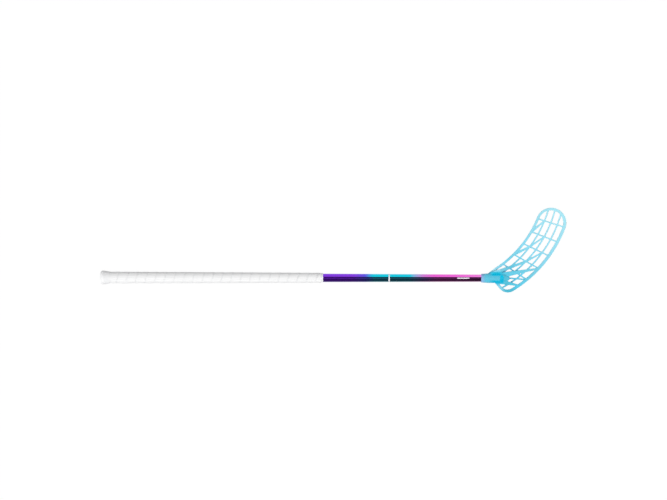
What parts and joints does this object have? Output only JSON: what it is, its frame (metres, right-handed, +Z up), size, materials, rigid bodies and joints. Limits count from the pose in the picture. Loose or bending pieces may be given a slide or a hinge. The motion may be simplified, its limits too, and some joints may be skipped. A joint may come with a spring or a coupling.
{
  "type": "floorball stick",
  "caption": "Floorball stick: tapered painted shaft, spirally wound soft grip with a flared end cap, and a hooked openwork plastic blade fixed by its hosel and screws.",
  "frame": {"origin": "centre of the flat butt end of the cap, on the shaft's axis", "axes": "+X along the shaft from the butt to the blade, +Y towards the blade's toe, +Z up, out of the blade's hollow forehand face"},
  "size_m": [1.1648, 0.2122, 0.0346],
  "materials": {
    "shaft_lacquer": "glossy lacquer on composite, fading from violet through cyan to pink",
    "plug_plastic": "moulded black plastic",
    "cap_plastic": "moulded white plastic",
    "grip_soft": "soft white foam strip with a matt skin",
    "band_film": "white elastic film",
    "blade_plastic": "satin cyan moulding, slightly translucent",
    "screw_steel": "zinc plated"
  },
  "bodies": {
    "stick": {"shaft_tube": "shaft_lacquer", "shaft_tip_plug": "plug_plastic", "end_cap": "cap_plastic", "grip_wrap": "grip_soft", "grip_finish_band": "band_film", "blade": "blade_plastic"},
    "mouth_screw": {"mouth_blade_screw": "screw_steel"},
    "tip_screw": {"tip_blade_screw": "screw_steel"}
  },
  "joints": [
    {"name": "mouth_screw_draw", "type": "slide", "parent": "stick", "child": "mouth_screw", "axis": [0, 0, -1], "range_m": [0, 0.012]},
    {"name": "tip_screw_draw", "type": "slide", "parent": "stick", "child": "tip_screw", "axis": [0, 0, -1], "range_m": [0, 0.012]}
  ]
}
